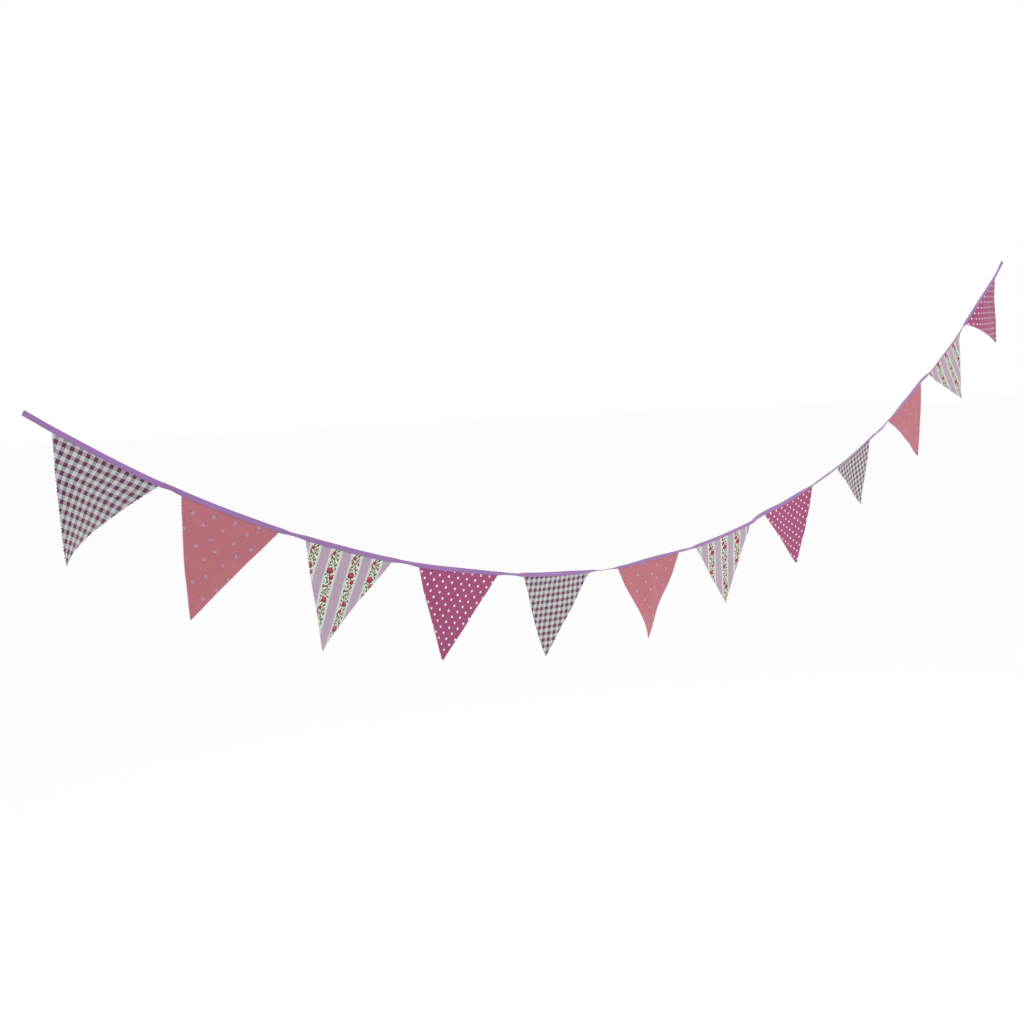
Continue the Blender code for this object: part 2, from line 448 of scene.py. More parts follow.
weave, given, made = new_recipe(
    "plain_weave",
    {"Place": "Vector", "Threads per metre": "Float"},
    {"Down thread on top": "Float", "Height": "Float", "Yarn": "Float"},
)
threads = reckon_place(weave, "SCALE", given[0], None, None, given[1])
counts = put(weave, "SeparateXYZ", [threads]).node.outputs
crossing = reckon(weave, "ADD", *(reckon(weave, "FLOOR", counts[i]) for i in (0, 1)))
down_on_top = reckon(weave, "FLOORED_MODULO", crossing, 2)
rounds = [
    reckon(weave, "ABSOLUTE", reckon(weave, "SINE", reckon(weave, "MULTIPLY", counts[i], math.pi)))
    for i in (0, 1)
]
yarns = [
    put(weave, "TexNoise", {
        "Vector": reckon_place(weave, "MULTIPLY", threads, stretch), "Scale": 1.0, "Detail": 1.0,
    }, noise_dimensions="2D")
    for stretch in ((YARN_TO_YARN, ALONG_YARN, 1), (ALONG_YARN, YARN_TO_YARN, 1))
]


def pick(tree, share, when_off, when_on):
    """One of two numbers, by a share from 0 to 1."""
    return put(tree, "Mix", [share, None, when_off, when_on], data_type="FLOAT")


feed(weave, down_on_top, made[0])
feed(weave, reckon(weave, "MULTIPLY", *rounds), made[1])
feed(weave, pick(weave, down_on_top, yarns[1], yarns[0]), made[2])
print("nodes in the weave:", len(weave.nodes))

# %% [markdown]
# ## From a pattern to a finish
#
# A finish is the pattern's colour, the weave's small light and shade (painted into the colour
# and given by its bump), and cotton's dull sheen. Printed cloth is paler on the reverse, because
# the dye doesn't go right through, so a printed cloth gets two finishes. Along a pinked edge
# the yarn ends are loose and catch the light, so a painted highlight makes the colour lighter
# there for about half a millimetre.

# %% Make a cloth finish
UNDYED = dye(192, 190, 191)
THREADS = 3300              # threads in a metre of the cotton
REVERSE_FADE = 0.38         # how much of the print is lost on the reverse
FLUFF_HIGHLIGHT_WIDTH, FLUFF_HIGHLIGHT_SHARE = 0.8 * MM, 0.4   # painted highlight on the loose yarn ends of a pinked edge
WEAR_SCALE, WEAR = 28.0, (0.96, 1.04)      # patches a few centimetres across
YARN_STRENGTH = (0.93, 1.07)               # of the palest and the deepest dyed yarn
THREAD_SHADE = (0.9, 1.03)                 # light between the threads and on top of them
THREAD_RELIEF = 0.12 * MM


def cloth_finish(name, paint, fade=0.0, roughness=0.9, sheen=0.15):
    """A cloth finish. paint(tree, place, down_on_top) gives the pattern's colour."""
    finish, tree, shader = new_finish(name, {
        "Roughness": roughness, "Specular IOR Level": 0.25,
        "Sheen Weight": sheen, "Sheen Roughness": 0.5,
    })
    place = put(tree, "UVMap", [], uv_map="cloth")
    down_on_top, height, yarn = use_recipe(tree, weave, place, float(THREADS))[:3]
    colour = paint(tree, place, down_on_top)
    if fade:
        colour = paint_over(tree, fade, colour, UNDYED)
    from_edge = put(tree, "Attribute", [], out=2, attribute_name="from_cut_edge")
    # painted highlight: the loose yarn ends at a pinked edge catch the light, so the colour goes
    # lighter toward the undyed colour
    fluff_highlight = soften(tree, from_edge, FLUFF_HIGHLIGHT_WIDTH, 0.0, 0.0, FLUFF_HIGHLIGHT_SHARE)
    colour = paint_over(tree, fluff_highlight, colour, UNDYED)
    patches = put(tree, "TexNoise", {"Vector": place, "Scale": WEAR_SCALE, "Detail": 2.0})
    wear = put(tree, "MapRange", [patches, 0.3, 0.7, *WEAR])
    strength = put(tree, "MapRange", [yarn, 0.25, 0.75, *YARN_STRENGTH])
    shade = soften(tree, height, 0.0, 0.8, *THREAD_SHADE)
    for part in (wear, strength, shade):
        colour = reckon_place(tree, "SCALE", colour, None, None, part)
    feed(tree, colour, shader["Base Color"])
    bump = put(tree, "Bump", {"Strength": 0.35, "Distance": THREAD_RELIEF, "Height": height})
    feed(tree, bump, shader["Normal"])
    return finish


print("threads in a centimetre of cloth:", THREADS / 100)

# %% [markdown]
# ## The woven check
#
# A gingham check is not printed. Dark and pale yarns are set up in bands both ways, and
# where they cross the eye sees dark, half-tone or pale squares. So we do as the loom
# does: two stripes, and at each crossing the colour of the thread on top. From afar the
# half-tone has to read as an even tint, so the thread choice is softened a little.

# %% Check
CHECK_ALONG, CHECK_DOWN = 13.2 * MM, 12.2 * MM   # one repeat of the check
CHECK_DARK, CHECK_PALE = dye(96, 40, 78), dye(182, 189, 187)
CHECK_BLUR = 0.5 * MM
THREAD_CONTRAST = 0.55      # how plainly single threads show in the half-tone squares


def stripe(tree, value, pitch, width, blur):
    """1 within bands of that width, one every pitch, and 0 between them."""
    from_middle = reckon(tree, "PINGPONG", value, pitch / 2)
    return soften(tree, from_middle, (width + blur) / 2, (width - blur) / 2)


def paint_check(tree, place, down_on_top):
    along, down = put(tree, "SeparateXYZ", [place]).node.outputs[:2]
    dark_down = stripe(tree, along, CHECK_ALONG, CHECK_ALONG / 2, CHECK_BLUR)
    dark_across = stripe(tree, down, CHECK_DOWN, CHECK_DOWN / 2, CHECK_BLUR)
    low, high = 0.5 - THREAD_CONTRAST / 2, 0.5 + THREAD_CONTRAST / 2
    share = put(tree, "MapRange", [down_on_top, 0, 1, low, high])
    dark = pick(tree, share, dark_across, dark_down)
    return paint_over(tree, dark, CHECK_PALE, CHECK_DARK)


print("checks across a pennant:", round(PENNANT_WIDTH / CHECK_ALONG, 1))

# %% [markdown]
# ## The dotted cloth
#
# The dots stand in rows, each row half a step along from the last. That is two plain
# lattices, one set in the gaps of the other. Folding the flat cut into one cell with a
# remainder turns all the dots of a lattice into one, and its distance is easy.

# %% Dots
DOT_ALONG, DOT_DOWN = 20.6 * MM, 19.5 * MM     # one cell, a dot at its corner and middle
DOT_RADIUS, DOT_BLUR = 2.2 * MM, 0.15 * MM
DOT_GROUND, DOT_WHITE = dye(151, 67, 108), dye(206, 214, 210)


def cell_place(tree, place, along, down, shift):
    """Place from the nearest point of a lattice, shifted by that share of a cell."""
    cells = reckon_place(tree, "DIVIDE", place, (along, down, 1))
    cells = reckon_place(tree, "ADD", cells, (shift + 0.5, shift + 0.5, 0.5))
    corner = reckon_place(tree, "FLOOR", cells)
    inside = reckon_place(tree, "SUBTRACT", cells, corner)
    inside = reckon_place(tree, "SUBTRACT", inside, (0.5, 0.5, 0.5))
    return reckon_place(tree, "MULTIPLY", inside, (along, down, 0)), corner


def paint_dots(tree, place, down_on_top):
    distances = [
        reckon_place(tree, "LENGTH", cell_place(tree, place, DOT_ALONG, DOT_DOWN, shift)[0])
        for shift in (0.0, 0.5)
    ]
    nearest = reckon(tree, "MINIMUM", *distances)
    dot = soften(tree, nearest, DOT_RADIUS + DOT_BLUR, DOT_RADIUS - DOT_BLUR)
    return paint_over(tree, dot, DOT_GROUND, DOT_WHITE)


print("dots in a row across a pennant:", round(PENNANT_WIDTH / DOT_ALONG, 1))

# %% [markdown]
# ## Leaves, buds and flowers
#
# The two flowered cloths need small motifs. A leaf or a bud is a turned, stretched disc. A
# flower is a disc whose edge goes in and out five times round, and a rose is that with
# lighter petals wound round its middle. Two recipes cover them all.

# %% Motif recipes
PETALS, PETAL_DEPTH, WIND = 5, 0.09, 9.0   # wind: how tightly a rose's petals are wound

leaf, given, made = new_recipe(
    "leaf", {"Place": "Vector", "Middle": "Vector", "Half size": "Vector", "Turn": "Float"},
    {"Inside": "Float"},
)
turned = put(leaf, "VectorRotate", {"Vector": given[0], "Center": given[1], "Angle": given[3]},
             rotation_type="Z_AXIS")
reach = reckon_place(leaf, "DIVIDE", reckon_place(leaf, "SUBTRACT", turned, given[1]), given[2])
feed(leaf, soften(leaf, reckon_place(leaf, "LENGTH", reach), 1.12, 0.88), made[0])

flower, given, made = new_recipe(
    "flower", {"Place": "Vector", "Middle": "Vector", "Radius": "Float"},
    {"Inside": "Float", "Petals": "Float", "Reach": "Float"},
)
spot = reckon_place(flower, "SUBTRACT", given[0], given[1])
x, y = put(flower, "SeparateXYZ", [spot]).node.outputs[:2]
round_by = reckon(flower, "ARCTAN2", y, x)
reach = reckon(flower, "DIVIDE", reckon_place(flower, "LENGTH", spot), given[2])
lobes = reckon(flower, "COSINE", reckon(flower, "MULTIPLY", round_by, PETALS))
outline = reckon(flower, "MULTIPLY_ADD", lobes, PETAL_DEPTH, 1 - PETAL_DEPTH)
feed(flower, soften(flower, reckon(flower, "SUBTRACT", reach, outline), 0.1, -0.1), made[0])
wound = reckon(flower, "MULTIPLY_ADD", reach, WIND, reckon(flower, "MULTIPLY", round_by, 2))
feed(flower, soften(flower, reckon(flower, "SINE", wound), 0.1, 0.8), made[1])
feed(flower, reach, made[2])


def leaf_at(tree, place, x, y, half_length, half_width, turn=0.0):
    """1 inside a leaf or a bud, which is given in millimetres and degrees."""
    middle, half_size = (x * MM, y * MM, 0), (half_length * MM, half_width * MM, 1)
    return use_recipe(tree, leaf, place, middle, half_size, math.radians(turn))[0]


def spin(tree, place, chance):
    """Place turned about the cell's middle by that share of a full turn."""
    turn = reckon(tree, "MULTIPLY", chance, 2 * math.pi)
    return put(tree, "VectorRotate", {"Vector": place, "Angle": turn}, rotation_type="Z_AXIS")


print("motif recipes:", leaf.name, flower.name)

# %% [markdown]
# ## The coral sprig cloth
#
# Tiny pale flowers are tossed over the coral ground, each with two dark leaves. A tossed
# print still has an order: one sprig to a cell, moved and turned within it. A random
# number for each cell does that, and the same number always comes up for the same cell.

# %% Coral with sprigs
SPRIG_ALONG, SPRIG_DOWN = 39 * MM, 35 * MM
SPRIG_RADIUS = 2.8 * MM
TOSS = 11 * MM              # side of the square within which a sprig may lie
CORAL, SPRIG_PALE, SPRIG_BLUE = dye(173, 102, 112), dye(182, 148, 168), dye(118, 122, 154)
SPRIG_LEAF, SPRIG_EYE = dye(134, 98, 98), dye(142, 112, 114)
SPRIG_LEAVES = ((4.2, 1.1, 20), (-2.1, -3.9, 120))   # x, y in mm, turn in degrees
SPRIG_LEAF_HALF = (1.9, 0.95)                        # half the length and width in mm
SPRIG_PETALS = 0.8          # how much blue the petals take
SPECK_ALONG, SPECK_DOWN, SPECK_RADIUS = 27 * MM, 31 * MM, 0.85 * MM
SPECK_SHARE = 0.6           # the specks between the sprigs are fainter


def paint_coral(tree, place, down_on_top):
    colour = CORAL
    for shift in (0.0, 0.5):
        near, _ = cell_place(tree, place, SPECK_ALONG, SPECK_DOWN, shift)
        from_speck = reckon_place(tree, "LENGTH", near)
        speck = soften(tree, from_speck, SPECK_RADIUS * 1.2, SPECK_RADIUS * 0.6)
        colour = paint_over(tree, reckon(tree, "MULTIPLY", speck, SPECK_SHARE), colour, SPRIG_PALE)
    for shift in (0.0, 0.5):
        near, corner = cell_place(tree, place, SPRIG_ALONG, SPRIG_DOWN, shift)
        label = reckon_place(tree, "ADD", corner, (0, 0, shift))
        chance = put(tree, "TexWhiteNoise", [label], out=1)
        move = reckon_place(tree, "SUBTRACT", chance, (0.5, 0.5, 0.5))
        move = reckon_place(tree, "MULTIPLY", move, (TOSS, TOSS, 0))
        near = reckon_place(tree, "SUBTRACT", near, move)
        near = spin(tree, near, put(tree, "TexWhiteNoise", [label]))
        for x, y, turn in SPRIG_LEAVES:
            inside = leaf_at(tree, near, x, y, *SPRIG_LEAF_HALF, turn)
            colour = paint_over(tree, inside, colour, SPRIG_LEAF)
        inside, petals, reach = use_recipe(tree, flower, near, (0, 0, 0), SPRIG_RADIUS)[:3]
        petals = reckon(tree, "MULTIPLY", petals, SPRIG_PETALS)
        bloom = paint_over(tree, petals, SPRIG_PALE, SPRIG_BLUE)
        bloom = paint_over(tree, soften(tree, reach, 0.4, 0.25), bloom, SPRIG_EYE)
        colour = paint_over(tree, inside, colour, bloom)
    return colour


print("one cell of the sprigs, in mm:", round(SPRIG_ALONG / MM), "by", round(SPRIG_DOWN / MM))

# %% [markdown]
# ## The rose stripe
#
# Pale bands carry a climbing rose, with a plainer lilac band between them. A climbing
# pattern is one short branch printed over and over, so we chart that branch once: its
# roses, buds and leaves, with a thin stem that waves from side to side between them. Small
# leaves strewn one to a cell fill the room round it.

# %% Chart of the stripe and of one branch
BAND_PITCH, BAND_WIDTH, BRANCH = 43 * MM, 24.5 * MM, 90 * MM
BAND_PALE, BAND_LILAC, BAND_LINE = dye(188, 198, 194), dye(170, 150, 167), dye(154, 132, 152)
BAND_BLUR = 0.2 * MM
LINE_PITCH, LINE_WIDTH, LINE_BLUR, LINE_SHARE = 1.9 * MM, 0.7 * MM, 0.3 * MM, 0.45
BORDER_IN, BORDER_SHARE = 1.7 * MM, 0.3          # a faint line inside the pale band's edge
ROSE, ROSE_LIGHT, ROSE_EDGE = dye(158, 38, 70), dye(190, 84, 112), dye(92, 22, 44)
BUD, GREEN, GREEN_DARK = dye(134, 40, 52), dye(96, 120, 66), dye(46, 64, 38)
STEM_GREEN, SPRAY_GROUND = dye(72, 92, 52), dye(206, 212, 196)
SPRAY_CELL, SPRAY_HALF, SPRAY_BLUR = 6 * MM, 7.8 * MM, 1 * MM   # half: of the strewn width
SPRAY_LEAF = (0.9, 0, 2.1, 1.0)                  # x, y, half length and half width in mm
STEM_SWING, STEM_WIDTH = 3 * MM, 0.7 * MM
ROSE_WIDE, BUD_HIGH = 1.2, 1.3   # a rose is wider than it is high, and a bud is higher than wide
ROSE_PETALS, ROSE_SHADE = 0.75, 0.75             # how much light and shade a rose takes

Motif = namedtuple("Motif", "x y size")                 # all in mm, y down the branch
ROSES = (Motif(-2.5, 36, 5.8), Motif(3.5, 46.5, 4.2), Motif(1.5, 83.5, 5.0), Motif(-3.5, 7, 3.6))
BUDS = (Motif(5.5, 54.5, 1.9), Motif(-6.5, 62.5, 1.8), Motif(6.5, 16, 1.9), Motif(-6, 15, 1.7))

Leaf = namedtuple("Leaf", "x y length width turn dark")   # mm and degrees
LEAVES = (
    Leaf(4.5, 2.5, 5.6, 2.6, 35, 1), Leaf(2.5, 10.5, 5.0, 2.4, -50, 0),
    Leaf(-8.0, 11.5, 4.4, 2.0, 60, 1), Leaf(-1.5, 16.5, 5.2, 2.4, 65, 0),
    Leaf(2.0, 21.5, 5.8, 2.6, -40, 0), Leaf(-4.5, 22.5, 4.8, 2.2, 30, 1),
    Leaf(5.5, 26.0, 4.6, 2.2, 55, 1), Leaf(-7.0, 27.5, 5.6, 2.6, -55, 0),
    Leaf(6.5, 31.0, 5.2, 2.4, -70, 1), Leaf(-8.5, 43.5, 4.8, 2.2, 40, 1),
    Leaf(-4.5, 48.5, 6.0, 3.0, 15, 0), Leaf(-1.0, 54.0, 5.4, 2.4, -60, 1),
    Leaf(2.5, 59.0, 5.0, 2.2, 45, 0), Leaf(-2.5, 61.5, 4.6, 2.0, -35, 1),
    Leaf(4.5, 65.5, 5.6, 2.6, 20, 0), Leaf(-0.5, 68.5, 5.0, 2.2, -55, 1),
    Leaf(-5.5, 72.5, 5.6, 2.6, 30, 0), Leaf(1.5, 74.5, 4.8, 2.2, 60, 0),
    Leaf(-6.5, 78.0, 4.6, 2.0, -40, 1), Leaf(8.0, 77.5, 4.4, 2.0, -65, 1),
    Leaf(-5.5, 87.0, 4.8, 2.2, -30, 0),
)
print("on one branch:", len(ROSES), "roses,", len(BUDS), "buds and", len(LEAVES), "leaves")

# %% [markdown]
# With the chart made, the cloth is painted from the ground up: the lilac band and its fine
# lines, the pale band and its border, the stem, and then the leaves, buds and roses.

# %% Paint the stripe
def paint_stripe(tree, place, down_on_top):
    near, _ = cell_place(tree, place, BAND_PITCH, 1.0, 0.0)
    aside = put(tree, "SeparateXYZ", [near]).node.outputs[0]
    down = put(tree, "SeparateXYZ", [place]).node.outputs[1]
    climb = reckon(tree, "FLOORED_MODULO", down, BRANCH)
    spot = put(tree, "CombineXYZ", [aside, climb, 0.0])
    lines = stripe(tree, aside, LINE_PITCH, LINE_WIDTH, LINE_BLUR)
    lilac = paint_over(tree, reckon(tree, "MULTIPLY", lines, LINE_SHARE), BAND_LILAC, BAND_LINE)
    from_middle = reckon(tree, "ABSOLUTE", aside)
    border = reckon(tree, "SUBTRACT", from_middle, BAND_WIDTH / 2 - BORDER_IN)
    border = soften(tree, reckon(tree, "ABSOLUTE", border), 0.5 * MM, 0.2 * MM)
    band = paint_over(tree, reckon(tree, "MULTIPLY", border, BORDER_SHARE), BAND_PALE, BAND_LILAC)
    in_spray = soften(tree, from_middle, SPRAY_HALF + SPRAY_BLUR, SPRAY_HALF - SPRAY_BLUR)
    band = paint_over(tree, in_spray, band, SPRAY_GROUND)
    swing = reckon(tree, "SINE", reckon(tree, "MULTIPLY", climb, 4 * math.pi / BRANCH))
    from_stem = reckon(tree, "ABSOLUTE", reckon(tree, "MULTIPLY_ADD", swing, -STEM_SWING, aside))
    stem = soften(tree, from_stem, STEM_WIDTH * 0.8, STEM_WIDTH * 0.3)
    band = paint_over(tree, stem, band, STEM_GREEN)
    for shift, green in ((0.0, GREEN), (0.5, GREEN_DARK)):
        near, corner = cell_place(tree, spot, SPRAY_CELL, SPRAY_CELL, shift)
        chance = put(tree, "TexWhiteNoise", [reckon_place(tree, "ADD", corner, (0, 0, shift))])
        inside = leaf_at(tree, spin(tree, near, chance), *SPRAY_LEAF)
        reddish = paint_over(tree, soften(tree, chance, 0.7, 0.75), green, BUD)
        band = paint_over(tree, reckon(tree, "MULTIPLY", inside, in_spray), band, reddish)
    for one in LEAVES:
        inside = leaf_at(tree, spot, one.x, one.y, one.length / 2, one.width / 2, one.turn)
        band = paint_over(tree, inside, band, GREEN_DARK if one.dark else GREEN)
    for one in BUDS:
        inside = leaf_at(tree, spot, one.x, one.y, one.size, one.size * BUD_HIGH)
        band = paint_over(tree, inside, band, BUD)
    for one in ROSES:
        flat = reckon_place(tree, "MULTIPLY", spot, (1 / ROSE_WIDE, 1, 1))
        middle = (one.x / ROSE_WIDE * MM, one.y * MM, 0)
        inside, petals = use_recipe(tree, flower, flat, middle, one.size * MM)[:2]
        rose = paint_over(tree, reckon(tree, "MULTIPLY", petals, ROSE_PETALS), ROSE, ROSE_LIGHT)
        below = put(tree, "SeparateXYZ", [flat]).node.outputs[1]
        below = reckon(tree, "SUBTRACT", below, one.y * MM)
        shaded = soften(tree, reckon(tree, "DIVIDE", below, one.size * MM), -0.2, 0.7)
        rose = paint_over(tree, reckon(tree, "MULTIPLY", shaded, ROSE_SHADE), rose, ROSE_EDGE)
        band = paint_over(tree, inside, band, rose)
    edge = BAND_WIDTH / 2
    in_band = soften(tree, from_middle, edge + BAND_BLUR, edge - BAND_BLUR)
    return paint_over(tree, in_band, lilac, band)


print("pale bands across a pennant:", round(PENNANT_WIDTH / BAND_PITCH, 1))

# %% [markdown]
# ## The tape and its thread
#
# The tape is a lilac strip of the same plain weave, a little smoother and with more sheen
# than the cottons, so it only needs a colour for each of its two ways of thread. The sewing
# thread is a darker lilac with a soft gloss. With these, all finishes can be made.

# %% Plain lilac, and all finishes
LILAC, THREAD_LILAC = dye(148, 109, 163), dye(130, 91, 148)
PLIES = 900                 # twists of the thread's plies in a metre, as the wave counts them
PLY_SHADE = (0.86, 1.06)    # light between the plies and on top of them


def paint_lilac(tree, place, down_on_top):
    return paint_over(tree, reckon(tree, "MULTIPLY", down_on_top, 0.25), LILAC, THREAD_LILAC)


PAINTS = {"check": paint_check, "coral": paint_coral, "stripe": paint_stripe, "dots": paint_dots}
FINISHES = {}
for cloth, paint in PAINTS.items():
    FINISHES[cloth] = [cloth_finish(cloth + "_cotton", paint)]
    if cloth != "check":
        FINISHES[cloth].append(cloth_finish(cloth + "_cotton_reverse", paint, fade=REVERSE_FADE))
FINISHES["tape"] = [cloth_finish("lilac_tape", paint_lilac, sheen=0.3, roughness=0.8)]


def thread_finish():
    """Sewing thread: fine plies wound round it, and a soft gloss."""
    finish, tree, shader = new_finish("lilac_thread", {"Roughness": 0.55, "Sheen Weight": 0.3})
    place = put(tree, "TexCoord", []).node.outputs["Object"]
    plies = put(tree, "TexWave", {"Vector": place, "Scale": PLIES, "Distortion": 1.0}, out=1,
                bands_direction="DIAGONAL")
    shade = put(tree, "MapRange", [plies, 0, 1, *PLY_SHADE])
    colour = reckon_place(tree, "SCALE", THREAD_LILAC[:3], None, None, shade)
    feed(tree, colour, shader["Base Color"])
    bump = put(tree, "Bump", {"Strength": 0.3, "Distance": 0.05 * MM, "Height": plies})
    feed(tree, bump, shader["Normal"])
    return finish


FINISHES["thread"] = [thread_finish()]
print("finishes:", sum(len(f) for f in FINISHES.values()))

# %% [markdown]
# ## The tape
#
# A strip of soft cloth folded in two doesn't make a sharp edge: the fold stays a little
# round and fat, and the two leaves close only at the seam. We lay it with rows that go up
# the front leaf, round the fold and down the back. Past each corner the leaves close,
# as no pennant is between them, and a little unevenness keeps the long edges from looking
# like wire.

# %% Fold and lay the tape
TAPE_STEP = 3.5 * MM        # length of one section of tape
TAPE_COLUMNS = round(TAPE_LENGTH / TAPE_STEP)
FOLD_ROUND, FOLD_PRESSED = 0.9 * MM, 0.4 * MM    # radius of the soft fold, over a pennant and bare
FOLD_ROWS, LEAF_ROWS = 3, 6
SEAM_UP = 1.8 * MM          # height of the seam above the tape's lower edge
EDGE_FLARE = 0.2 * MM       # the free lower edge stands out this much
AIR = 0.04 * MM             # room between layers that touch
UNEVEN, UNEVEN_RUN = 0.25 * MM, 45 * MM          # how far its edge wanders, over what run
NOISE_GAIN = 1.6            # brings Blender's noise to a range of about -1 to 1
SHUT_HALF = TAPE_CLOTH / 2 + AIR
HELD_HALF = (TAPE_CLOTH + PENNANT_CLOTH) / 2 + AIR


def wander(s, size, seed):
    """A smooth random value from about -1 to 1, changing over that size."""
    return NOISE_GAIN * noise.noise(Vector((s / size, seed * 7.3, seed * 3.1)))


def in_pennant(s):
    """1 where a pennant holds the leaves apart, gliding to 0 in the gaps."""
    return max(ease(2 + min(s - left, right - s) / OPEN_REACH) for left, right in CORNERS)


def fold_radius(s):
    return FOLD_PRESSED + (FOLD_ROUND - FOLD_PRESSED) * in_pennant(s)


def leaf_aside(s, drop):
    """Distance of a leaf's middle from the tape's middle, at run s and that drop."""
    half = SHUT_HALF + (HELD_HALF - SHUT_HALF) * in_pennant(s)
    seam, fold = TAPE_WIDTH - SEAM_UP, fold_radius(s)
    closing = ease((drop - fold) / (seam - fold))
    flare = EDGE_FLARE * ease((drop - seam) / SEAM_UP)
    return fold + (half - fold) * closing + flare


def lay_tape(column, row):
    s = TAPE_LENGTH * column / TAPE_COLUMNS
    fold = fold_radius(s)
    side = 1 if row < FOLD_ROWS + LEAF_ROWS else -1
    count = abs(FOLD_ROWS + LEAF_ROWS - row)
    if count <= FOLD_ROWS:
        angle = math.pi / 2 * count / FOLD_ROWS
        drop, aside = fold * (1 - math.cos(angle)), fold * math.sin(angle)
        round_fold = fold * angle
    else:
        width = TAPE_WIDTH + UNEVEN * wander(s, UNEVEN_RUN, side)
        drop = fold + (width - fold) * (count - FOLD_ROWS) / LEAF_ROWS
        aside = leaf_aside(s, drop)
        round_fold = fold * (math.pi / 2 - 1) + drop
    to_end = min(s, TAPE_LENGTH - s)
    return leaf_point(s, drop, side * aside), (s, side * round_fold), to_end


tape_rows = 2 * (FOLD_ROWS + LEAF_ROWS)
tape = lay_cloth("tape", TAPE_COLUMNS, tape_rows, lay_tape, TAPE_CLOTH, FINISHES["tape"])
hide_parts("binding_tape")
print("tape faces:", len(tape.data.polygons))

# %% [markdown]
# ## The stitching
#
# One row of straight machine stitches holds everything together, with a thread on the
# front and one on the back. There are about two thousand stitches, so each is the plainest
# form that still looks like thread: a round with six sides, stretched to a spindle.

# %% Sew the seam
STITCH, STITCH_PITCH = 2.6 * MM, 3.1 * MM
STITCH_WIDE, STITCH_HIGH = 0.5 * MM, 0.36 * MM
FIRST_STITCH = 4 * MM


def stitch_place(s, side):
    """Matrix that turns a ball at the origin into a stitch on one leaf of the tape."""
    along, (across, out) = directions(s)[0], leaf_axes(s)
    seam = TAPE_WIDTH - SEAM_UP
    middle = leaf_point(s, seam, side * (leaf_aside(s, seam) + TAPE_CLOTH / 2))
    axes = (out * side * STITCH_HIGH / 2, across * STITCH_WIDE / 2, along * side * STITCH / 2)
    return Matrix.Translation(middle) @ Matrix(axes).transposed().to_4x4()


bm = bmesh.new()
bmesh.ops.create_uvsphere(bm, u_segments=6, v_segments=4, radius=1)
for face in bm.faces:
    face.smooth = True
one_stitch = bpy.data.meshes.new("one_stitch")
bm.to_mesh(one_stitch)
bm.clear()
stitches = int((TAPE_LENGTH - 2 * FIRST_STITCH) / STITCH_PITCH)
for side in (1, -1):
    for i in range(stitches):
        placed = one_stitch.copy()
        placed.transform(stitch_place(FIRST_STITCH + (i + 0.5) * STITCH_PITCH, side))
        bm.from_mesh(placed)
        bpy.data.meshes.remove(placed)
bpy.data.meshes.remove(one_stitch)
stitching = add_piece("stitching", finished_mesh("stitching", bm, FINISHES["thread"]))
print("stitches:", 2 * stitches, "faces:", len(stitching.data.polygons))

# %% [markdown]
# ## The pennants
#
# Each triangle is cut with pinking shears, so its two long sides are small teeth that
# don't fray. We get the teeth from the grid itself: the rows are half a tooth apart, and
# every other row is a little wider. The top goes up inside the tape. Below the tape the
# cloth first keeps the lean it was sewn at, then bends over a few millimetres and hangs.
#
# Cotton on its own never hangs quite flat. Each pennant gets one or two long soft creases,
# a slow waviness that grows towards the loose edges, and the small
# puckers that a seam makes just below the tape.

# %% Teeth, creases and waves
TOOTH, TOOTH_DEPTH = 5 * MM, 1.7 * MM
COLUMNS, TOP_ROWS = 36, 3
Crease = namedtuple("Crease", "pennant top low end height width")   # mm, end as a share of the drop
CREASES = (
    Crease(1, -34, -16, 0.9, 2.0, 16), Crease(1, 30, 8, 0.6, -1.4, 13),
    Crease(2, 46, 6, 0.8, 1.6, 14), Crease(2, -50, -12, 0.5, -1.2, 12),
    Crease(3, -52, -10, 0.7, -1.4, 13), Crease(3, 24, 10, 0.9, 1.6, 17),
    Crease(4, 12, -4, 0.8, 1.5, 15), Crease(5, -30, -6, 0.9, -1.5, 14),
    Crease(5, 40, 12, 0.6, 1.4, 13), Crease(6, 0, 4, 1.0, 1.8, 15),
    Crease(7, -44, -8, 0.7, 1.3, 13), Crease(7, 34, 8, 0.8, -1.3, 14),
    Crease(8, 20, 2, 0.9, 1.5, 16), Crease(9, -20, 0, 0.9, -1.5, 15),
    Crease(10, 30, 6, 0.8, 1.6, 15), Crease(10, -30, -10, 0.7, -1.2, 13),
    Crease(11, -10, 4, 0.9, 1.4, 15), Crease(12, 36, 10, 0.9, -1.5, 15),
)
print("creases:", len(CREASES), "on", len(PENNANTS), "pennants")

# %% How far the cloth stands forward
CREASE_IN, CREASE_OUT = 1 / 8, 1 / 4             # shares of the drop in which it comes and goes
WAVE, WAVE_ACROSS, WAVE_DOWN = 1.1 * MM, 75 * MM, 90 * MM
EDGE_WAVE, EDGE_WAVE_DOWN = 1.5 * MM, 42 * MM
CALM_DROP = 30 * MM         # drop over which the waves grow, as the tape holds the cloth calm
PUCKER, PUCKER_ACROSS, PUCKER_FROM, PUCKER_FADE = 0.3 * MM, 9 * MM, 3 * MM, 10 * MM
DRIFT_DROP = 60 * MM        # drop over which the print drifts aside where a pennant curls


def soft_relief(number, u, v, share, across):
    """How far the cloth stands forward of its even hang."""
    grown = ease(v / CALM_DROP)
    spot = Vector((u / WAVE_ACROSS, v / WAVE_DOWN, number * 5.1))
    height = WAVE * grown * NOISE_GAIN * noise.noise(spot)
    seed = number + (0.5 if across > 0 else 0)
    height += EDGE_WAVE * grown * wander(v, EDGE_WAVE_DOWN, seed) * across * across
    puckers = wander(u, PUCKER_ACROSS, number + 20) * math.exp(-v / PUCKER_FADE)
    height += PUCKER * puckers * ease(v / PUCKER_FROM)
    for one in CREASES:
        if one.pennant == number:
            line = one.top + (one.low - one.top) * share / one.end
            off = (u / MM - line) / one.width
            fade = ease(share / CREASE_IN) * ease((one.end - share) / CREASE_OUT)
            height += one.height * MM * math.exp(-off * off) * fade
    return height


